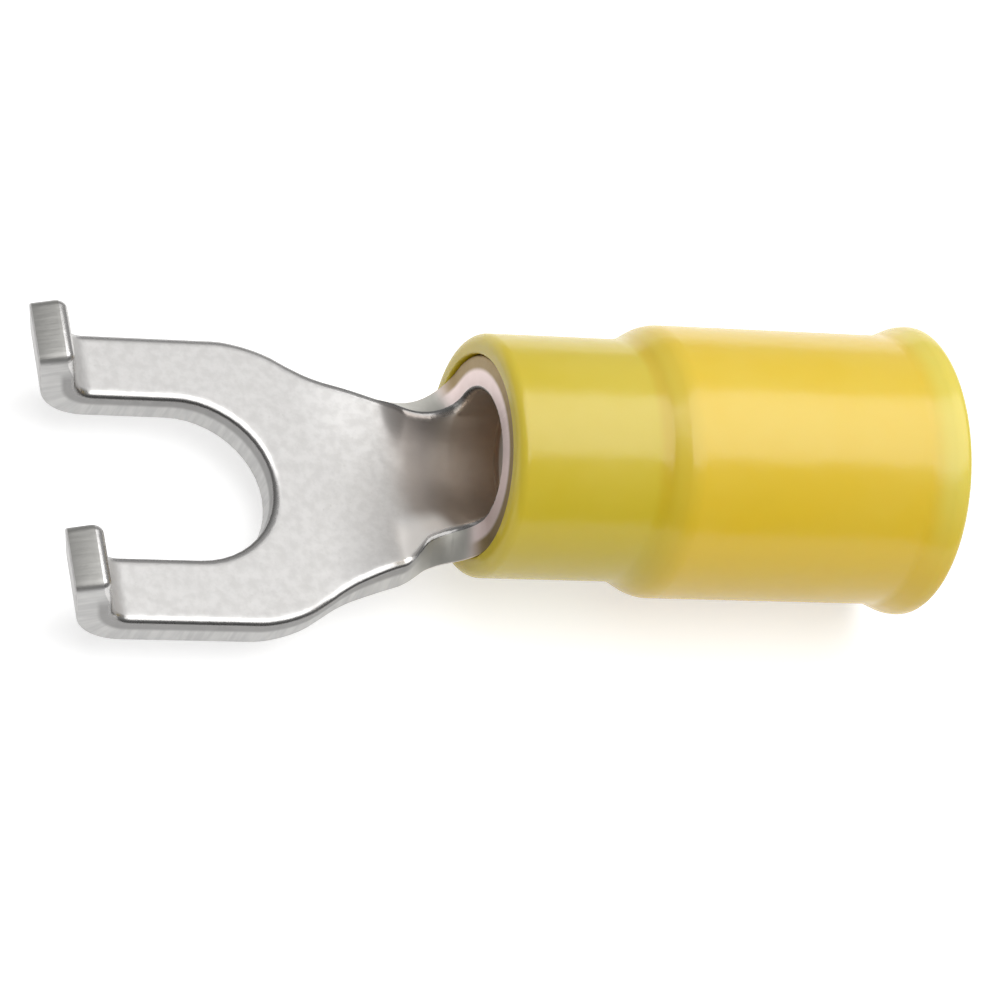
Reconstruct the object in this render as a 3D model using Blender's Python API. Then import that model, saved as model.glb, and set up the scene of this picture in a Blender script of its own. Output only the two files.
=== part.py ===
"""Insulated fork terminal: a stamped metal fork with turned-up tips and a rolled barrel, in a stepped sleeve.

The metal is one piece, made here as the press makes it. A flat blank is cut and its upper edges are rolled
down by the punch. Then the tips are turned up, and the neck and the barrel are rolled round the wire's axis,
where the barrel's two edges meet in a brazed seam.

The blank lies with X along the wire, from the tips to the wire entry, and X = 0 at the stud's centre.
Sizes are in millimetres and angles in degrees. The finished part stands with the bottom centre of its
bounding box at the origin.
"""

import math

import bmesh
import bpy

MM = 0.001

overall_length = 25.80

# The stock and its edges
stock_thickness = 1.02
edge_roll_width = 0.27
edge_roll_depth = 0.13

# The fork, for a 5 mm class stud
slot_width = 5.0
prong_width = 2.03
prong_reach = 2.34
tip_bend_radius = 0.70
tip_angle = 71.0
tip_rise = 1.56
tip_corner_radius = 0.28
tip_roll_depth = 0.33

# The shoulders, and the neck that narrows in two tapers towards the barrel
shoulder_reach = 2.40
shoulder_radius = 3.4
taper_length = 1.85
neck_width = 6.71
neck_radius = 3.0
neck_length = 3.61
throat_width = 4.18

# How the neck is dished and then rolled up to the barrel, where 1 is the barrel's own curvature
forming_length = 2.01
forming_ease = 0.2
trough_length = 2.45
trough_share = 0.18

# The barrel
barrel_bore = 3.56
barrel_length = 5.3
barrel_edge_chamfer = 0.36
notch_radius = 0.95
serration_count = 3
serration_pitch = 1.15
serration_width = 0.34
serration_depth = 0.12

# The sleeve
sleeve_clearance = 0.10
sleeve_wall = 0.50
sleeve_front_length = 4.40
step_length = 0.80
step_height = 0.44
step_radius = 1.0
bead_height = 0.28
bead_length = 0.38
bead_rise = 0.70
bead_corner_radius = 0.18
shoulder_gap = 0.15
funnel_length = 0.9
lip_radius = 0.35
lip_lead = 0.10
entry_chamfer = 0.30

# Facets
barrel_facets = 40
sleeve_facets = 64
slot_facets = 28
bend_facets = 9
trough_facets = 4
forming_facets = 12
degrees_per_facet = 9.0

# What follows from the sizes
slot_radius = slot_width / 2
fork_half = slot_radius + prong_width
neck_half = neck_width / 2
throat_half = throat_width / 2
neck_reach = shoulder_reach + taper_length
barrel_reach = neck_reach + neck_length
forming_start = barrel_reach - forming_length
trough_start = forming_start - trough_length
bore_radius = barrel_bore / 2
barrel_radius = bore_radius + stock_thickness
roll_radius = bore_radius + stock_thickness / 2
blank_half = math.pi * roll_radius
barrel_end = barrel_reach + barrel_length
tip_bend_middle = tip_bend_radius + stock_thickness / 2
tip_turn = math.radians(tip_angle)
blank_tip = -prong_reach - tip_bend_middle * tip_turn - tip_rise
middle_height = -roll_radius
front_bore = barrel_radius + sleeve_clearance
front_radius = front_bore + sleeve_wall
grip_radius = front_radius + step_height
grip_bore = grip_radius - sleeve_wall
bead_radius = grip_radius + bead_height
tip_corner_x = (-prong_reach - (tip_bend_radius + stock_thickness) * math.sin(tip_turn)
                - tip_rise * math.cos(tip_turn))
sleeve_start = barrel_reach - lip_lead
sleeve_end = tip_corner_x + overall_length
centre_x = tip_corner_x + overall_length / 2
axis_height = bead_radius

SAME_POINT = 0.003
ROUND_PROFILE = 0.5


def rounded(corners):
    """The outline through the corners (x, y, radius), each corner turned into an arc of its own radius."""
    points = []
    for index, (x, y, radius) in enumerate(corners):
        if radius == 0 or index in (0, len(corners) - 1):
            points.append((x, y))
            continue
        before_x, before_y, _ = corners[index - 1]
        after_x, after_y, _ = corners[index + 1]
        length_in = math.hypot(x - before_x, y - before_y)
        length_out = math.hypot(after_x - x, after_y - y)
        in_x, in_y = (x - before_x) / length_in, (y - before_y) / length_in
        out_x, out_y = (after_x - x) / length_out, (after_y - y) / length_out
        turn = math.atan2(in_x * out_y - in_y * out_x, in_x * out_x + in_y * out_y)
        longest = 0.48 * min(length_in, length_out)
        cut = min(radius * math.tan(abs(turn) / 2), longest)
        radius = cut / math.tan(abs(turn) / 2)
        side = math.copysign(1.0, turn)
        centre = (x - cut * in_x - side * radius * in_y, y - cut * in_y + side * radius * in_x)
        steps = max(2, round(math.degrees(abs(turn)) / degrees_per_facet))
        start = math.atan2(-side * in_x, side * in_y)
        for step in range(steps + 1):
            angle = start + turn * step / steps
            points.append((centre[0] + radius * math.cos(angle), centre[1] + radius * math.sin(angle)))
    return points


def half_outline():
    """One side of the blank's outline, from the slot's round end by the tip and the neck to the barrel's end."""
    points = []
    for step in range(slot_facets // 2 + 1):
        angle = math.pi / 2 * step / (slot_facets // 2)
        points.append((slot_radius * math.cos(angle), slot_radius * math.sin(angle)))
    points += rounded([
        (0, slot_radius, 0),
        (blank_tip, slot_radius, tip_corner_radius),
        (blank_tip, fork_half, tip_corner_radius),
        (shoulder_reach, fork_half, shoulder_radius),
        (neck_reach, neck_half, neck_radius),
        (barrel_reach, throat_half, notch_radius),
        (barrel_reach, blank_half, 0),
    ])[1:]
    points += [(barrel_end, blank_half), (barrel_end, 0)]
    return points


def on_seam(vert):
    return abs(abs(vert.co.y) - blank_half) < SAME_POINT


def cut_blank(bm):
    """The flat blank, its upper face at height 0, with the punch's rolled edge all round but at the seam.

    At the tips' ends the roll is deeper.
    """
    half = half_outline()
    outline = half + [(x, -y) for x, y in reversed(half[1:-1])]
    face = bm.faces.new([bm.verts.new((x, y, -stock_thickness)) for x, y in outline])
    lifted = bmesh.ops.extrude_face_region(bm, geom=[face])
    risen = [item for item in lifted["geom"] if isinstance(item, bmesh.types.BMVert)]
    bmesh.ops.translate(bm, verts=risen, vec=(0, 0, stock_thickness))
    bmesh.ops.recalc_face_normals(bm, faces=bm.faces)
    upper = [edge for edge in bm.edges
             if all(vert.co.z > -SAME_POINT for vert in edge.verts) and not all(map(on_seam, edge.verts))]
    bmesh.ops.bevel(bm, geom=upper, offset=edge_roll_width, offset_type="OFFSET", segments=3, profile=ROUND_PROFILE,
                    affect="EDGES", clamp_overlap=False, material=-1)
    split(bm, (blank_tip + 1.5 * edge_roll_width, 0, 0), (1, 0, 0))
    for vert in bm.verts:
        if vert.co.z > -edge_roll_width - SAME_POINT:
            at_tip = vert.co.x < blank_tip + edge_roll_width + SAME_POINT
            vert.co.z *= (tip_roll_depth if at_tip else edge_roll_depth) / edge_roll_width


def chamfer_barrel_ends(bm):
    """The barrel's two outer rims, broken so that the sleeve slides over them."""
    rims = []
    for edge in bm.edges:
        low = all(vert.co.z < -stock_thickness + SAME_POINT for vert in edge.verts)
        front = all(abs(vert.co.x - barrel_reach) < SAME_POINT for vert in edge.verts)
        back = all(abs(vert.co.x - barrel_end) < SAME_POINT for vert in edge.verts)
        if low and (front or back):
            rims.append(edge)
    bmesh.ops.bevel(bm, geom=rims, offset=barrel_edge_chamfer, offset_type="OFFSET", segments=2, profile=ROUND_PROFILE,
                    affect="EDGES", clamp_overlap=False, material=-1)


def split(bm, place, direction, beyond=None):
    """Splits the faces along a plane, so that they can bend there."""
    faces = [face for face in bm.faces if beyond is None or face.calc_center_bounds().x > beyond]
    parts = set(faces)
    for face in faces:
        parts.update(face.edges)
        parts.update(face.verts)
    bmesh.ops.bisect_plane(bm, geom=list(parts), dist=SAME_POINT, plane_co=place, plane_no=direction)


def split_for_forming(bm):
    for step in range(bend_facets + 1):
        bent = tip_bend_middle * tip_turn * step / bend_facets
        split(bm, (-prong_reach - bent, 0, 0), (1, 0, 0))
    for step in range(trough_facets):
        split(bm, (trough_start + trough_length * step / trough_facets, 0, 0), (1, 0, 0))
    for step in range(forming_facets + 1):
        split(bm, (forming_start + forming_length * step / forming_facets, 0, 0), (1, 0, 0))
    for centre in serration_places():
        for offset in (-serration_width / 2, 0, serration_width / 2):
            split(bm, (centre + offset, 0, 0), (1, 0, 0))
    for facet in range(1, barrel_facets):
        across = -blank_half + 2 * blank_half * facet / barrel_facets
        split(bm, (0, across, 0), (0, 1, 0), beyond=trough_start)
    bmesh.ops.remove_doubles(bm, verts=bm.verts, dist=SAME_POINT)


def serration_places():
    middle = barrel_reach + barrel_length / 2
    return [middle + serration_pitch * (index - (serration_count - 1) / 2) for index in range(serration_count)]


def press_serrations(bm):
    """The grooves across the barrel's inner face, which bite into the wire."""
    for vert in bm.verts:
        if vert.co.z > -SAME_POINT:
            if any(abs(vert.co.x - place) < SAME_POINT for place in serration_places()):
                vert.co.z -= serration_depth


def turn_up_tips(bm):
    """Bends the prongs' ends up about an axis across the fork."""
    centre_z = tip_bend_middle - stock_thickness / 2
    for vert in bm.verts:
        along = -prong_reach - vert.co.x
        if along <= 0:
            continue
        angle = min(along / tip_bend_middle, tip_turn)
        straight = max(0.0, along - tip_bend_middle * tip_turn)
        reach = centre_z - vert.co.z
        vert.co.x = -prong_reach - reach * math.sin(angle) - straight * math.cos(angle)
        vert.co.z = centre_z - reach * math.cos(angle) + straight * math.sin(angle)


def tightness_at(along):
    """How tightly the metal is rolled at that place: a little along the trough, then soon as far as the barrel."""
    dish = min(max((along - trough_start) / trough_length, 0.0), 1.0)
    roll = min(max((along - forming_start) / forming_length, 0.0), 1.0)
    ease = min(roll / forming_ease, 1.0)
    rolled = math.sqrt(roll) * ease * ease * (3 - 2 * ease)
    return trough_share * dish * dish * (3 - 2 * dish) + (1 - trough_share) * rolled


def roll_barrel(bm):
    """Rolls the neck and the barrel round the wire's axis, ever tighter along the neck."""
    for vert in bm.verts:
        tightness = tightness_at(vert.co.x)
        above_middle = vert.co.z + stock_thickness / 2
        if tightness < 1e-6:
            vert.co.z = middle_height + above_middle
            continue
        radius = roll_radius / tightness
        angle = vert.co.y / radius
        vert.co.y = (radius - above_middle) * math.sin(angle)
        vert.co.z = middle_height + radius - (radius - above_middle) * math.cos(angle)


def finish_object(bm, name, material, crease_angle):
    """Stands the mesh on the ground in metres and gives it its object, shading and material."""
    bmesh.ops.translate(bm, verts=bm.verts, vec=(-centre_x, 0, axis_height))
    bmesh.ops.scale(bm, verts=bm.verts, vec=(MM, MM, MM))
    mesh = bpy.data.meshes.new(name)
    bm.to_mesh(mesh)
    bm.free()
    mesh.shade_smooth()
    mesh.set_sharp_from_angle(angle=math.radians(crease_angle))
    mesh.materials.append(material)
    made = bpy.data.objects.new(name, mesh)
    bpy.context.scene.collection.objects.link(made)
    return made


def make_material(name, colour, metallic, roughness):
    material = bpy.data.materials.new(name)
    material.use_nodes = True
    shader = material.node_tree.nodes["Principled BSDF"]
    shader.inputs["Base Color"].default_value = (*colour, 1.0)
    shader.inputs["Metallic"].default_value = metallic
    shader.inputs["Roughness"].default_value = roughness
    return material


def make_fork():
    """The stamped fork, neck and barrel in one piece."""
    bm = bmesh.new()
    cut_blank(bm)
    chamfer_barrel_ends(bm)
    split_for_forming(bm)
    press_serrations(bm)
    seam_faces = [face for face in bm.faces if all(map(on_seam, face.verts))]
    bmesh.ops.delete(bm, geom=seam_faces, context="FACES_ONLY")
    turn_up_tips(bm)
    roll_barrel(bm)
    bmesh.ops.remove_doubles(bm, verts=bm.verts, dist=SAME_POINT)
    bmesh.ops.recalc_face_normals(bm, faces=bm.faces)
    plated = make_material("tin_plated_copper", (0.72, 0.71, 0.69), 1.0, 0.32)
    return finish_object(bm, "fork_and_barrel", plated, 28)


def sleeve_profile():
    """The sleeve's section as (x, radius), from the front lip back along the outside and home by the bore."""
    step_start = sleeve_start + sleeve_front_length
    bead_start = sleeve_end - bead_length
    bore_end = barrel_end + shoulder_gap
    outside = rounded([
        (sleeve_start, front_bore, 0),
        (sleeve_start, front_radius, lip_radius),
        (step_start, front_radius, step_radius),
        (step_start + step_length, grip_radius, step_radius),
        (bead_start - bead_rise, grip_radius, bead_rise),
        (bead_start, bead_radius, bead_rise),
        (sleeve_end, bead_radius, bead_corner_radius),
        (sleeve_end, grip_bore + entry_chamfer, 0),
    ])
    inside = [
        (sleeve_end - entry_chamfer, grip_bore),
        (bore_end + funnel_length, grip_bore),
        (bore_end, front_bore),
    ]
    return outside + inside


def make_sleeve():
    """The moulded sleeve, turned round the wire's axis."""
    bm = bmesh.new()
    verts = [bm.verts.new((x, 0, radius)) for x, radius in sleeve_profile()]
    edges = [bm.edges.new((verts[index - 1], verts[index])) for index in range(len(verts))]
    bmesh.ops.spin(bm, geom=verts + edges, cent=(0, 0, 0), axis=(1, 0, 0), angle=2 * math.pi,
                   steps=sleeve_facets, use_merge=True)
    bmesh.ops.recalc_face_normals(bm, faces=bm.faces)
    vinyl = make_material("yellow_vinyl", (0.80, 0.60, 0.08), 0.0, 0.38)
    return finish_object(bm, "vinyl_sleeve", vinyl, 35)


def main():
    for old in list(bpy.data.objects):
        bpy.data.objects.remove(old, do_unlink=True)
    make_fork()
    make_sleeve()


main()
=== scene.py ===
"""The looks of an insulated fork terminal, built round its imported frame.

Two pieces stand for the frame's two solids: the stamped and plated fork with its rolled barrel, and the vinyl
sleeve. The fork is made as the press makes it. A flat blank is cut, its edges are dressed, and then the tips
are turned up and the neck and barrel are rolled. Sizes are in millimetres until a piece is finished. The
blank's X = 0 is the stud's centre, and its upper face is at height 0.
"""

import math

import bmesh
import bpy
from mathutils import Euler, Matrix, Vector


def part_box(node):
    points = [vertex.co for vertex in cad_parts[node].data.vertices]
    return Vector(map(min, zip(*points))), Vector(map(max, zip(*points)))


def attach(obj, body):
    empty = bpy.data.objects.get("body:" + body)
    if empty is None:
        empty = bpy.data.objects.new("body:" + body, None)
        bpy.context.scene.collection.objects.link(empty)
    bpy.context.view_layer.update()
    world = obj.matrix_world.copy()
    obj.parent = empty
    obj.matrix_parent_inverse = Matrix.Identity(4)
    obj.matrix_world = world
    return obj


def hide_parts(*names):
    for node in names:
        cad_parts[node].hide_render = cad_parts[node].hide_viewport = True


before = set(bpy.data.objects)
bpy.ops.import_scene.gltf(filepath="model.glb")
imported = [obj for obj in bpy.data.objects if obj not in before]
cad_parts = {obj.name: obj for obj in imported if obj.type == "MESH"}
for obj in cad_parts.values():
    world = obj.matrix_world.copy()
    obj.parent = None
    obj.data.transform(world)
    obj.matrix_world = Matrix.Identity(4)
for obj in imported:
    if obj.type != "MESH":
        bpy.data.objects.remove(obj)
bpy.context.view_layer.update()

# A millimetre in metres, how near two points count as one, and the profile of a round bevel
MM = 0.001
SAME_POINT = 0.002
ROUND_PROFILE = 0.5

# The sockets of the Mix node that are for colours
MIX_SHARE = 0
MIX_FIRST = 6
MIX_SECOND = 7
MIX_RESULT = 2

# The stock and how its edges come from the press
stock_thickness = 1.02
die_roll_width = 0.27
die_roll_depth = 0.16
burr_edge = 0.05
edge_strip = 0.04

# The fork
slot_radius = 2.5
prong_width = 2.03
prong_reach = 2.34
tip_bend_radius = 0.70
tip_angle = 71.0
tip_rise = 1.56
tip_corner_radius = 0.28
tip_roll_depth = 0.33
tip_roll_fade = 3
shoulder_reach = 2.40
shoulder_radius = 3.4
neck_reach = 4.25
neck_radius = 3.0
neck_half = 3.355
throat_half = 2.16
trough_start = 3.4
trough_share = 0.18
forming_start = 5.85
forming_length = 2.01
forming_ease = 0.35
forming_power = 0.6

# The barrel
barrel_reach = 7.86
barrel_length = 5.3
bore_radius = 1.78
rim_chamfer = 0.16
notch_radius = 1.03
serration_count = 3
serration_pitch = 1.15
serration_width = 0.34
serration_depth = 0.12
seam_groove_width = 0.07
seam_groove_depth = 0.02

# The sleeve
sleeve_clearance = 0.02
sleeve_wall = 0.58
grip_wall = 0.50
sleeve_front_length = 4.40
step_length = 0.80
step_height = 0.44
step_radius = 1.0
bead_height = 0.28
bead_length = 0.38
bead_rise = 0.70
bead_corner_radius = 0.18
shoulder_gap = 0.15
funnel_length = 0.9
funnel_radius = 0.5
lip_radius = 0.35
lip_lead = 0.10
inner_lip_radius = 0.07
entry_chamfer = 0.30
entry_radius = 0.12

# Facets
corner_facets = 12
bend_facets = 16
trough_facets = 10
forming_facets = 24
barrel_facets = 72
sleeve_facets = 144
die_roll_facets = 5
tip_roll_facets = 6
rim_facets = 4
burr_facets = 3

# How the blank's faces and edges are told apart, and the least angle in degrees that is shaded as an edge
flat_normal = 0.999
upright_normal = 0.25
broad_area = 5
square_edge_turn = 1.2
least_tightness = 1e-6
fork_crease = 30
sleeve_crease = 40

# What follows from the sizes
fork_half = slot_radius + prong_width
barrel_end = barrel_reach + barrel_length
barrel_radius = bore_radius + stock_thickness
roll_radius = bore_radius + stock_thickness / 2
blank_half = math.pi * roll_radius
tip_bend_middle = tip_bend_radius + stock_thickness / 2
tip_turn = math.radians(tip_angle)
blank_tip = -prong_reach - tip_bend_middle * tip_turn - tip_rise
middle_height = -roll_radius
front_bore = barrel_radius + sleeve_clearance
front_radius = front_bore + sleeve_wall
grip_radius = front_radius + step_height
grip_bore = grip_radius - grip_wall
bead_radius = grip_radius + bead_height
sleeve_start = barrel_reach - lip_lead

# The frame says where the blank's zero point lies and how long the sleeve is
_, fork_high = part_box("fork_and_barrel")
sleeve_low, sleeve_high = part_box("vinyl_sleeve")
stud_x = fork_high.x / MM - barrel_end
axis_height = (sleeve_low.z + sleeve_high.z) / 2 / MM
sleeve_end = sleeve_high.x / MM - stud_x

# The metal's colours
tin_pale = (0.60, 0.59, 0.58, 1)
tin_grey = (0.55, 0.54, 0.53, 1)
tin_spot = (0.42, 0.41, 0.39, 1)
# Painted shade for the trough and on into the barrel, and deeper painted shade for its far side
trough_painted_shade = (0.42, 0.38, 0.35, 1)
trough_far_painted_shade = (0.27, 0.24, 0.22, 1)
# A painted highlight for the near wing
wing_painted_highlight = (0.92, 0.88, 0.84, 1)
bore_warm = (0.72, 0.64, 0.56, 1)
# Painted shade for the rolled edges
edge_painted_shade = (0.26, 0.255, 0.25, 1)
wall_pale = (0.51, 0.505, 0.495, 1)
wall_grey = (0.44, 0.435, 0.43, 1)
wall_burnished = (0.29, 0.285, 0.28, 1)
notch_wall = (0.52, 0.51, 0.47, 1)
# Painted shade for the tips' end faces
tip_end_painted_shade = (0.35, 0.345, 0.33, 1)
rim_copper = (0.84, 0.70, 0.68, 1)
# Painted shade for the rim's outer edge, where it meets the sleeve
rim_painted_shade = (0.31, 0.23, 0.12, 1)

# Where the metal's finishes, its painted shade and its painted highlight start and end, along the flat blank
behind_tip_along = (blank_tip + 0.6, blank_tip + 1.2)
tip_end_shade_along = (blank_tip + 0.02, blank_tip + 0.15)
wing_highlight_start_along = (5.6, 6.2)
wing_highlight_end_along = (6.9, 7.5)
trough_shade_along = (5.7, 6.8)
bore_metal_along = (6.4, 7.8)
bore_warm_along = (7.0, 8.2)
notch_along = (5.9, 6.5)
copper_along = (barrel_reach - 0.4, barrel_reach - 0.05)
rim_shade_along = (barrel_reach - 0.30, barrel_reach - 0.02)

# The same across the blank, up through its thickness, and by how far down its edges are rolled
wing_highlight_across = (-1.9, -0.9)
far_shade_across = (0.2, 1.8)
burnished_height = (-0.50, -0.34)
outer_height = (-0.70, -0.54)
edge_shade_roll = (0.3, 0.75)
edge_smooth_roll = (0.05, 0.35)

# How strong the finishes are, and the noise that they follow
noise_spread = (0.3, 0.7)
mottle_spread = (0.35, 0.65)
speckle_spread = (0.60, 0.75)
cloud_spread = (0.45, 0.65)
streak_stretch = (7.0, 7.0, 0.7)
spot_share = 0.35
copper_share = 0.9
metal_roughness = (0.44, 0.50)
edge_smoothing = 0.2
metallic_range = (0.5, 1.0)
mottle_relief = 0.3
skin_relief = 0.012
streak_relief = 0.008

# The vinyl's colours
vinyl_tight = (0.64, 0.50, 0.042, 1)
vinyl_hollow = (0.79, 0.55, 0.038, 1)
# Painted shade for the step's foot
vinyl_foot_shade = (0.60, 0.39, 0.012, 1)
vinyl_bead = (0.80, 0.66, 0.10, 1)
vinyl_lip = (0.62, 0.59, 0.30, 1)
vinyl_cloud = (0.86, 0.74, 0.22, 1)
# Painted light for the low side: a deeper, brighter yellow
vinyl_painted_low_tight = (0.74, 0.56, 0.004, 1)
vinyl_painted_low_hollow = (0.95, 0.63, 0.004, 1)

# Where the vinyl's colours, its painted shade and its painted light change, in the frame
step_at = stud_x + sleeve_start + sleeve_front_length
bead_at = stud_x + sleeve_end - bead_length - bead_rise
lip_at = stud_x + sleeve_start
hollow_along = (step_at - 0.2, step_at + 1.2)
foot_shade_start_along = (step_at - 0.30, step_at)
foot_shade_end_along = (step_at + 0.1, step_at + 0.4)
bead_along = (bead_at - 0.1, bead_at + 0.5)
lip_along = (lip_at + 0.1, lip_at + 0.4)
lip_height = (axis_height - 1.0, axis_height + 1.0)
painted_low_height = (axis_height + 0.6, axis_height + 3.6)
foot_shade_share = 0.6
cloud_share = 0.12
painted_low_share = 0.9

# The vinyl's surface
vinyl_roughness = (0.20, 0.27)
vinyl_ior = 1.55
vinyl_glow = 0.12
vinyl_glow_colours = (1.0, 0.6, 0.15)
vinyl_glow_depth = 0.5
wave_relief = 0.02
grain_relief = 0.0025


def clamped(value):
    return min(max(value, 0.0), 1.0)


def smooth(share):
    """Eases a share of 0 to 1, so that it starts and ends gently."""
    return share * share * (3 - 2 * share)


def corner_cut(before, corner, after, radius):
    """How far along its two sides an arc of that radius starts."""
    going_in = Vector(corner) - Vector(before)
    going_out = Vector(after) - Vector(corner)
    return radius * math.tan(going_in.angle(going_out) / 2)


def rounded_face(bm, corners, segments):
    """A flat face through the corners (x, y, radius), with each corner bevelled to an arc."""
    verts = [bm.verts.new((x, y, 0)) for x, y, _ in corners]
    bm.faces.new(verts)
    places = [(x, y, 0) for x, y, _ in corners]
    for index, (_, _, radius) in enumerate(corners):
        if radius == 0:
            continue
        after = places[(index + 1) % len(places)]
        cut = corner_cut(places[index - 1], places[index], after, radius)
        bmesh.ops.bevel(bm, geom=[verts[index]], offset=cut, offset_type="OFFSET", segments=segments,
                        profile=ROUND_PROFILE, affect="VERTICES", clamp_overlap=False, material=-1)
    bmesh.ops.remove_doubles(bm, verts=bm.verts, dist=SAME_POINT)


def bevel_edges(bm, edges, width, segments):
    bmesh.ops.bevel(bm, geom=edges, offset=width, offset_type="OFFSET", segments=segments,
                    profile=ROUND_PROFILE, affect="EDGES", clamp_overlap=False, material=-1)


def on_seam(vert):
    return abs(abs(vert.co.y) - blank_half) < SAME_POINT


def at_barrel_end(edge):
    ends = (barrel_reach, barrel_end)
    return any(all(abs(vert.co.x - end) < SAME_POINT for vert in edge.verts) for end in ends)


def underneath(edge):
    return all(vert.co.z < -stock_thickness + SAME_POINT for vert in edge.verts)


def split(bm, place, direction, beyond=None):
    """Splits the faces along a plane, so that they can bend there."""
    faces = [face for face in bm.faces if beyond is None or face.calc_center_bounds().x > beyond]
    parts = set(faces)
    for face in faces:
        parts.update(face.edges)
        parts.update(face.verts)
    bmesh.ops.bisect_plane(bm, geom=list(parts), dist=SAME_POINT, plane_co=place, plane_no=direction)


def set_roll_depth(bm):
    """Gives the rolled upper edges their depth, greater at the tips' ends and easing off behind them."""
    for step in range(1, tip_roll_facets + 1):
        widths = 1 + tip_roll_fade * step / tip_roll_facets
        split(bm, (blank_tip + die_roll_width * widths, 0, 0), (1, 0, 0))
    for vert in bm.verts:
        if vert.co.z > -die_roll_width - SAME_POINT:
            past = clamped(((vert.co.x - blank_tip) / die_roll_width - 1) / tip_roll_fade)
            depth = tip_roll_depth + (die_roll_depth - tip_roll_depth) * smooth(past)
            vert.co.z *= depth / die_roll_width


def cut_blank(bm):
    """The flat blank with its rolled upper edges and its dressed lower edges."""
    half = [
        (slot_radius, slot_radius, slot_radius),
        (blank_tip, slot_radius, tip_corner_radius),
        (blank_tip, fork_half, tip_corner_radius),
        (shoulder_reach, fork_half, shoulder_radius),
        (neck_reach, neck_half, neck_radius),
        (barrel_reach, throat_half, notch_radius),
        (barrel_reach, blank_half, 0),
        (barrel_end, blank_half, 0),
    ]
    rounded_face(bm, half + [(x, -y, radius) for x, y, radius in reversed(half)], corner_facets)
    bmesh.ops.translate(bm, verts=bm.verts, vec=(0, 0, -stock_thickness))
    lifted = bmesh.ops.extrude_face_region(bm, geom=list(bm.faces))
    risen = [item for item in lifted["geom"] if isinstance(item, bmesh.types.BMVert)]
    bmesh.ops.translate(bm, verts=risen, vec=(0, 0, stock_thickness))
    bmesh.ops.recalc_face_normals(bm, faces=bm.faces)

    upper = [edge for edge in bm.edges
             if all(vert.co.z > -SAME_POINT for vert in edge.verts) and not all(map(on_seam, edge.verts))]
    bevel_edges(bm, upper, die_roll_width, die_roll_facets)
    set_roll_depth(bm)

    ends = [edge for edge in bm.edges if underneath(edge) and at_barrel_end(edge)]
    bevel_edges(bm, ends, rim_chamfer, rim_facets)
    lower = [edge for edge in bm.edges
             if underneath(edge) and not all(map(on_seam, edge.verts))
             and len(edge.link_faces) == 2 and edge.calc_face_angle() > square_edge_turn]
    bevel_edges(bm, lower, burr_edge, burr_facets)

    broad = [face for face in bm.faces
             if abs(face.normal.z) > flat_normal and face.calc_area() > broad_area]
    bmesh.ops.inset_individual(bm, faces=broad, thickness=edge_strip, use_even_offset=True)


def serration_places():
    middle = barrel_reach + barrel_length / 2
    before = (serration_count - 1) / 2
    return [middle + serration_pitch * (index - before) for index in range(serration_count)]


def split_for_forming(bm):
    for step in range(bend_facets + 1):
        split(bm, (-prong_reach - tip_bend_middle * tip_turn * step / bend_facets, 0, 0), (1, 0, 0))
    for step in range(trough_facets):
        split(bm, (trough_start + (forming_start - trough_start) * step / trough_facets, 0, 0), (1, 0, 0))
    for step in range(forming_facets + 1):
        split(bm, (forming_start + forming_length * step / forming_facets, 0, 0), (1, 0, 0))
    for centre in serration_places():
        for offset in (-serration_width / 2, -serration_width / 6, serration_width / 6, serration_width / 2):
            split(bm, (centre + offset, 0, 0), (1, 0, 0))
    for facet in range(1, barrel_facets):
        across = -blank_half + 2 * blank_half * facet / barrel_facets
        split(bm, (0, across, 0), (0, 1, 0), beyond=trough_start)
    for side in (-1, 1):
        split(bm, (0, side * (blank_half - seam_groove_width), 0), (0, 1, 0), beyond=forming_start)
    bmesh.ops.remove_doubles(bm, verts=bm.verts, dist=SAME_POINT)


def mark_blank(bm):
    """Writes each point's place on the flat blank, how far it is rolled down, and which faces are sheared."""
    flat = bm.verts.layers.float_vector.new("blank")
    rolled = bm.verts.layers.float.new("rolled")
    cut = bm.faces.layers.float.new("cut")
    for vert in bm.verts:
        vert[flat] = vert.co
        if vert.co.z > -stock_thickness / 2:
            vert[rolled] = math.sqrt(clamped(-vert.co.z / die_roll_depth))
    for face in bm.faces:
        face[cut] = 1.0 if abs(face.normal.z) < upright_normal else 0.0


def press_barrel(bm):
    """The grooves across the barrel's inner face, and the hollow along its brazed seam."""
    for vert in bm.verts:
        if vert.co.z < -SAME_POINT or vert.co.x < barrel_reach:
            continue
        if any(abs(vert.co.x - place) < serration_width / 3 for place in serration_places()):
            vert.co.z -= serration_depth
        if on_seam(vert):
            vert.co.z -= seam_groove_depth


def turn_up_tips(bm):
    """Bends the prongs' ends up about an axis across the fork."""
    centre_z = tip_bend_middle - stock_thickness / 2
    for vert in bm.verts:
        along = -prong_reach - vert.co.x
        if along <= 0:
            continue
        angle = min(along / tip_bend_middle, tip_turn)
        straight = max(0.0, along - tip_bend_middle * tip_turn)
        reach = centre_z - vert.co.z
        vert.co.x = -prong_reach - reach * math.sin(angle) - straight * math.cos(angle)
        vert.co.z = centre_z - reach * math.cos(angle) + straight * math.sin(angle)


def tightness_at(along):
    """How tightly the metal is rolled there: dished along the neck, then quickly up to the barrel's 1."""
    dish = clamped((along - trough_start) / (forming_start - trough_start))
    roll = clamped((along - forming_start) / forming_length)
    rolled = roll ** forming_power * smooth(min(roll / forming_ease, 1.0))
    return trough_share * smooth(dish) + (1 - trough_share) * rolled


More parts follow.
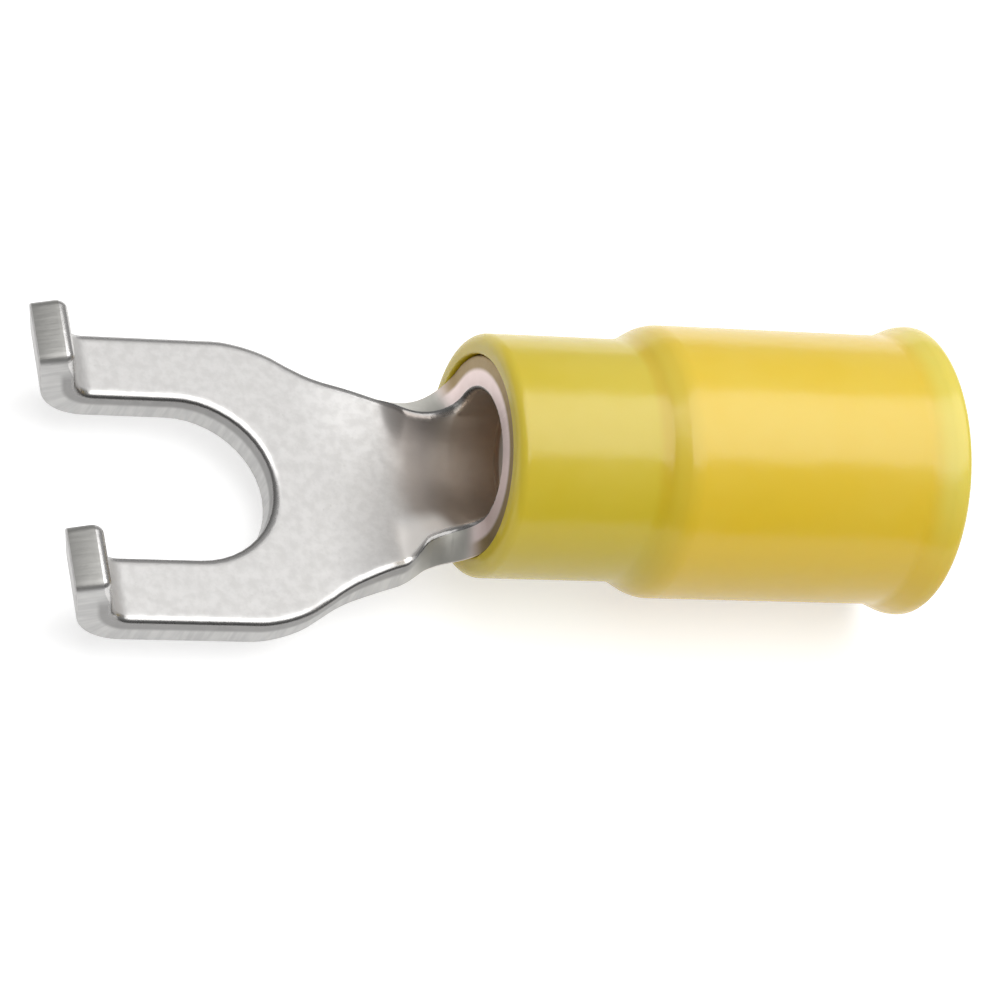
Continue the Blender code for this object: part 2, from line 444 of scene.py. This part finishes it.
def roll_barrel(bm):
    """Rolls the neck and the barrel round the wire's axis, ever tighter along the neck."""
    for vert in bm.verts:
        tightness = tightness_at(vert.co.x)
        above_middle = vert.co.z + stock_thickness / 2
        if tightness < least_tightness:
            vert.co.z = middle_height + above_middle
            continue
        radius = roll_radius / tightness
        angle = vert.co.y / radius
        vert.co.y = (radius - above_middle) * math.sin(angle)
        vert.co.z = middle_height + radius - (radius - above_middle) * math.cos(angle)


def finish_piece(bm, name, material, crease_angle):
    """Puts the mesh in its place in the frame, in metres, and gives it its object and shading."""
    bmesh.ops.translate(bm, verts=bm.verts, vec=(stud_x, 0, axis_height))
    bmesh.ops.scale(bm, verts=bm.verts, vec=(MM, MM, MM))
    mesh = bpy.data.meshes.new(name)
    bm.to_mesh(mesh)
    bm.free()
    mesh.shade_smooth()
    mesh.set_sharp_from_angle(angle=math.radians(crease_angle))
    mesh.materials.append(material)
    piece = bpy.data.objects.new(name, mesh)
    bpy.context.scene.collection.objects.link(piece)
    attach(piece, "root")
    return piece


def make_fork(material):
    bm = bmesh.new()
    cut_blank(bm)
    split_for_forming(bm)
    mark_blank(bm)
    seam_faces = [face for face in bm.faces if all(map(on_seam, face.verts))]
    press_barrel(bm)
    bmesh.ops.delete(bm, geom=seam_faces, context="FACES_ONLY")
    turn_up_tips(bm)
    roll_barrel(bm)
    bmesh.ops.remove_doubles(bm, verts=bm.verts, dist=SAME_POINT)
    bmesh.ops.recalc_face_normals(bm, faces=bm.faces)
    return finish_piece(bm, "stamped_fork", material, fork_crease)


def make_sleeve(material):
    """The sleeve's section turned round X: back along the outside from the lip, and home by the bore."""
    bm = bmesh.new()
    step_start = sleeve_start + sleeve_front_length
    bead_start = sleeve_end - bead_length
    bore_end = barrel_end + shoulder_gap
    corners = [
        (sleeve_start, front_bore, inner_lip_radius),
        (sleeve_start, front_radius, lip_radius),
        (step_start, front_radius, step_radius),
        (step_start + step_length, grip_radius, step_radius),
        (bead_start - bead_rise, grip_radius, bead_rise),
        (bead_start, bead_radius, bead_rise),
        (sleeve_end, bead_radius, bead_corner_radius),
        (sleeve_end, grip_bore + entry_chamfer, entry_radius),
        (sleeve_end - entry_chamfer, grip_bore, entry_radius),
        (bore_end + funnel_length, grip_bore, funnel_radius),
        (bore_end, front_bore, funnel_radius),
    ]
    rounded_face(bm, corners, corner_facets)
    bmesh.ops.delete(bm, geom=list(bm.faces), context="FACES_ONLY")
    bmesh.ops.spin(bm, geom=list(bm.verts) + list(bm.edges), cent=(0, 0, 0), axis=(1, 0, 0),
                   angle=2 * math.pi, steps=sleeve_facets, use_merge=True)
    bmesh.ops.recalc_face_normals(bm, faces=bm.faces)
    return finish_piece(bm, "moulded_sleeve", material, sleeve_crease)


class Recipe:
    """A material's node tree, with short ways to add and join its nodes."""

    def __init__(self, name):
        self.material = bpy.data.materials.new(name)
        self.material.use_nodes = True
        self.tree = self.material.node_tree
        self.shader = self.tree.nodes["Principled BSDF"]

    def add(self, kind, **settings):
        node = self.tree.nodes.new(kind)
        for key, value in settings.items():
            setattr(node, key, value)
        return node

    def feed(self, socket, source):
        """Joins an output to the socket, or writes a plain value there."""
        if isinstance(source, bpy.types.NodeSocket):
            self.tree.links.new(source, socket)
        else:
            socket.default_value = source

    def place(self, source, scale):
        node = self.add("ShaderNodeMapping")
        self.feed(node.inputs["Vector"], source)
        self.feed(node.inputs["Scale"], scale)
        return node.outputs["Vector"]

    def noise(self, where, scale, detail, roughness=0.5):
        node = self.add("ShaderNodeTexNoise")
        self.feed(node.inputs["Vector"], where)
        self.feed(node.inputs["Scale"], scale)
        self.feed(node.inputs["Detail"], detail)
        self.feed(node.inputs["Roughness"], roughness)
        return node.outputs["Fac"]

    def span(self, value, low, high, to_low=0.0, to_high=1.0):
        """Maps low..high smoothly to to_low..to_high."""
        node = self.add("ShaderNodeMapRange", interpolation_type="SMOOTHSTEP")
        for socket, source in zip(node.inputs, (value, low, high, to_low, to_high)):
            self.feed(socket, source)
        return node.outputs["Result"]

    def fade(self, value, low, high):
        """Maps low..high smoothly to 1..0."""
        return self.span(value, low, high, 1.0, 0.0)

    def arithmetic(self, kind, first, second):
        node = self.add("ShaderNodeMath", operation=kind)
        self.feed(node.inputs[0], first)
        self.feed(node.inputs[1], second)
        return node.outputs[0]

    def plus(self, first, second):
        return self.arithmetic("ADD", first, second)

    def minus(self, first, second):
        return self.arithmetic("SUBTRACT", first, second)

    def times(self, first, second):
        return self.arithmetic("MULTIPLY", first, second)

    def larger(self, first, second):
        return self.arithmetic("MAXIMUM", first, second)

    def blend(self, share, first, second):
        """A colour between the first, at 0, and the second, at 1."""
        node = self.add("ShaderNodeMix", data_type="RGBA")
        self.feed(node.inputs[MIX_SHARE], share)
        self.feed(node.inputs[MIX_FIRST], first)
        self.feed(node.inputs[MIX_SECOND], second)
        return node.outputs[MIX_RESULT]

    def bump(self, height, distance, before=None):
        node = self.add("ShaderNodeBump")
        self.feed(node.inputs["Height"], height)
        self.feed(node.inputs["Distance"], distance * MM)
        if before:
            self.feed(node.inputs["Normal"], before)
        return node.outputs["Normal"]


def make_plated_metal():
    """Tin over copper: a satin skin, greyer sheared walls, rolled edges painted dark as shade, and a coppery
    rim.

    The trough has painted shade, deeper on its far side, one wing a painted highlight, and the tips' ends and
    the rim's outer edge painted shade. Places are on the flat blank.
    """
    recipe = Recipe("tin_plated_copper")
    shader = recipe.shader
    blank = recipe.add("ShaderNodeAttribute", attribute_name="blank").outputs["Vector"]
    cut = recipe.add("ShaderNodeAttribute", attribute_name="cut").outputs["Fac"]
    rolled = recipe.add("ShaderNodeAttribute", attribute_name="rolled").outputs["Fac"]
    axes = recipe.add("ShaderNodeSeparateXYZ")
    recipe.feed(axes.inputs[0], blank)
    along = axes.outputs["X"]
    across = axes.outputs["Y"]
    height = axes.outputs["Z"]
    clouds = recipe.noise(blank, scale=0.7, detail=3.0, roughness=0.55)
    mottle = recipe.noise(blank, scale=3.2, detail=4.0, roughness=0.6)
    speckle = recipe.noise(blank, scale=9.0, detail=2.0)
    streaks = recipe.noise(recipe.place(blank, streak_stretch), scale=1.0, detail=2.0)
    behind_tip = recipe.span(along, *behind_tip_along)

    # The skin, mottled, with painted shade in the trough and on the rolled edges, and a painted highlight on
    # one wing
    skin = recipe.blend(recipe.span(mottle, *mottle_spread), tin_pale, tin_grey)
    spots = recipe.times(recipe.span(speckle, *speckle_spread), recipe.span(clouds, *cloud_spread))
    skin = recipe.blend(recipe.times(spots, spot_share), skin, tin_spot)
    # A painted highlight on the near wing
    wing_highlight = recipe.times(recipe.span(along, *wing_highlight_start_along), recipe.fade(along, *wing_highlight_end_along))
    wing_highlight = recipe.times(wing_highlight, recipe.fade(across, *wing_highlight_across))
    # Painted shade in the trough and on into the barrel, deeper on its far side
    trough_shade = recipe.larger(recipe.minus(recipe.span(along, *trough_shade_along), wing_highlight), 0.0)
    skin = recipe.blend(trough_shade, skin, trough_painted_shade)
    far_shade = recipe.times(trough_shade, recipe.span(across, *far_shade_across))
    skin = recipe.blend(far_shade, skin, trough_far_painted_shade)
    skin = recipe.blend(wing_highlight, skin, wing_painted_highlight)
    skin = recipe.blend(recipe.span(along, *bore_warm_along), skin, bore_warm)
    # Painted shade on the rolled edges behind the tips
    edge = recipe.times(recipe.span(rolled, *edge_shade_roll), behind_tip)
    skin = recipe.blend(edge, skin, edge_painted_shade)

    # The sheared walls, streaked, burnished over their upper part, with painted shade on the tips' end faces,
    # and coppery at the barrel's rim
    walls = recipe.blend(recipe.span(streaks, *noise_spread), wall_pale, wall_grey)
    burnished = recipe.times(recipe.span(height, *burnished_height), behind_tip)
    walls = recipe.blend(burnished, walls, wall_burnished)
    walls = recipe.blend(recipe.span(along, *notch_along), walls, notch_wall)
    # Painted shade on the tips' end faces
    walls = recipe.blend(recipe.fade(along, *tip_end_shade_along), walls, tip_end_painted_shade)
    walls = recipe.blend(recipe.times(recipe.span(along, *copper_along), copper_share), walls, rim_copper)
    colour = recipe.blend(cut, skin, walls)
    # Painted shade on the outer edge of the barrel's rim
    rim_shade = recipe.times(recipe.fade(height, *outer_height), recipe.span(along, *rim_shade_along))
    recipe.feed(shader.inputs["Base Color"], recipe.blend(rim_shade, colour, rim_painted_shade))

    # Rolled edges are smoother, and they, the sheared walls and the bore are the most metallic
    rough = recipe.span(mottle, *noise_spread, *metal_roughness)
    pressed = recipe.times(recipe.span(rolled, *edge_smooth_roll), recipe.minus(1.0, cut))
    recipe.feed(shader.inputs["Roughness"], recipe.minus(rough, recipe.times(pressed, edge_smoothing)))
    bore = recipe.larger(recipe.minus(recipe.span(along, *bore_metal_along), wing_highlight), 0.0)
    plated = recipe.larger(recipe.larger(cut, pressed), bore)
    recipe.feed(shader.inputs["Metallic"], recipe.span(plated, 0.0, 1.0, *metallic_range))

    relief = recipe.bump(recipe.plus(clouds, recipe.times(mottle, mottle_relief)), skin_relief)
    normal = recipe.bump(recipe.times(streaks, cut), streak_relief, relief)
    recipe.feed(shader.inputs["Normal"], normal)
    return recipe.material


def make_vinyl():
    """Semi-gloss yellow vinyl: greener where it hugs the barrel and warmer where it is hollow.

    Low down it is painted a deeper colour as painted light, and the step's foot has painted shade; it is
    paler at the bead and low on the lip.
    """
    recipe = Recipe("yellow_vinyl")
    shader = recipe.shader
    coordinates = recipe.add("ShaderNodeTexCoord").outputs["Object"]
    place = recipe.place(coordinates, (1 / MM, 1 / MM, 1 / MM))
    axes = recipe.add("ShaderNodeSeparateXYZ")
    recipe.feed(axes.inputs[0], place)
    along = axes.outputs["X"]
    height = axes.outputs["Z"]
    clouds = recipe.noise(place, scale=0.35, detail=3.0)
    grain = recipe.noise(place, scale=5.0, detail=3.0, roughness=0.6)
    waves = recipe.noise(place, scale=0.8, detail=2.0)

    hollow = recipe.span(along, *hollow_along)
    tint = recipe.blend(hollow, vinyl_tight, vinyl_hollow)
    # Painted shade in the step's concave foot
    foot_shade = recipe.times(recipe.span(along, *foot_shade_start_along),
                        recipe.span(along, *foot_shade_end_along, foot_shade_share, 0.0))
    tint = recipe.blend(foot_shade, tint, vinyl_foot_shade)
    tint = recipe.blend(recipe.span(along, *bead_along), tint, vinyl_bead)
    lip = recipe.times(recipe.fade(along, *lip_along), recipe.fade(height, *lip_height))
    tint = recipe.blend(lip, tint, vinyl_lip)
    pale = recipe.blend(recipe.span(clouds, *noise_spread, 0.0, cloud_share), tint, vinyl_cloud)
    # Painted light low down, a deeper yellow that fades out towards the top
    low = recipe.span(height, *painted_low_height, painted_low_share, 0.0)
    painted_low_tint = recipe.blend(hollow, vinyl_painted_low_tight, vinyl_painted_low_hollow)
    recipe.feed(shader.inputs["Base Color"], recipe.blend(low, pale, painted_low_tint))

    recipe.feed(shader.inputs["Roughness"], recipe.span(grain, *noise_spread, *vinyl_roughness))
    shader.inputs["IOR"].default_value = vinyl_ior
    shader.inputs["Subsurface Weight"].default_value = vinyl_glow
    shader.inputs["Subsurface Radius"].default_value = vinyl_glow_colours
    shader.inputs["Subsurface Scale"].default_value = vinyl_glow_depth * MM
    normal = recipe.bump(grain, grain_relief, recipe.bump(waves, wave_relief))
    recipe.feed(shader.inputs["Normal"], normal)
    return recipe.material


def make_floor():
    """A pale floor that still keeps the shadow, lifted to white for camera, glossy and transmission rays."""
    recipe = Recipe("pale_floor")
    shader = recipe.shader
    shader.inputs["Base Color"].default_value = floor_colour
    shader.inputs["Roughness"].default_value = 1.0
    shader.inputs["Specular IOR Level"].default_value = 0.0
    path = recipe.add("ShaderNodeLightPath")
    seen = recipe.larger(path.outputs["Is Camera Ray"], path.outputs["Is Glossy Ray"])
    seen = recipe.larger(seen, path.outputs["Is Transmission Ray"])
    recipe.feed(shader.inputs["Emission Strength"], recipe.times(seen, floor_lift))
    shader.inputs["Emission Color"].default_value = white
    bm = bmesh.new()
    bmesh.ops.create_grid(bm, x_segments=1, y_segments=1, size=floor_half)
    mesh = bpy.data.meshes.new("floor")
    bm.to_mesh(mesh)
    bm.free()
    mesh.materials.append(recipe.material)
    floor = bpy.data.objects.new("floor", mesh)
    bpy.context.scene.collection.objects.link(floor)


def make_softbox(name, centre, size, turn, radiance):
    """A rectangular lamp overhead, sizes in metres, that shines straight down."""
    lamp = bpy.data.lights.new(name, "AREA")
    lamp.shape = "RECTANGLE"
    lamp.size, lamp.size_y = size
    lamp.energy = radiance * math.pi * size[0] * size[1]
    made = bpy.data.objects.new(name, lamp)
    made.location = centre
    made.rotation_euler = (0, 0, math.radians(turn))
    bpy.context.scene.collection.objects.link(made)


def make_world():
    """A white room, brighter beyond the object than on the camera's side of it."""
    world = bpy.data.worlds.new("studio")
    world.use_nodes = True
    tree = world.node_tree
    background = tree.nodes["Background"]
    background.inputs["Color"].default_value = white
    direction = tree.nodes.new("ShaderNodeTexCoord")
    axes = tree.nodes.new("ShaderNodeSeparateXYZ")
    level = tree.nodes.new("ShaderNodeMapRange")
    for socket, value in zip(level.inputs[1:5], (-room_edge, room_edge, room_near, room_far)):
        socket.default_value = value
    tree.links.new(direction.outputs["Generated"], axes.inputs[0])
    tree.links.new(axes.outputs["Y"], level.inputs["Value"])
    tree.links.new(level.outputs["Result"], background.inputs["Strength"])
    bpy.context.scene.world = world


# The stage: the camera stands where the photographer's stood, in metres and degrees
camera_place = (-0.06315, -0.07370, 0.12810)
camera_turn = (31.896, -21.334, -10.797)
camera_lens = 204.2
camera_sensor = 36.0
white = (1, 1, 1, 1)
floor_colour = (0.66, 0.66, 0.66, 1)
floor_half = 3.0
floor_lift = 0.62
room_edge = 0.8
room_near = 0.20
room_far = 0.42
softbox_place = (0.040, 0.0, 0.25)
softbox_size = (0.33, 0.28)
softbox_turn = 12.0
softbox_radiance = 2.45

camera = bpy.data.objects.new("camera", bpy.data.cameras.new("camera"))
camera.data.sensor_width = camera_sensor
camera.data.lens = camera_lens
camera.data.clip_start = MM
camera.location = camera_place
camera.rotation_euler = Euler([math.radians(angle) for angle in camera_turn])
bpy.context.scene.collection.objects.link(camera)
bpy.context.scene.camera = camera
bpy.context.scene.view_settings.view_transform = "Standard"

make_world()
make_floor()
make_softbox("softbox", softbox_place, softbox_size, softbox_turn, softbox_radiance)

fork = make_fork(make_plated_metal())
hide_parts("fork_and_barrel")
sleeve = make_sleeve(make_vinyl())
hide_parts("vinyl_sleeve")
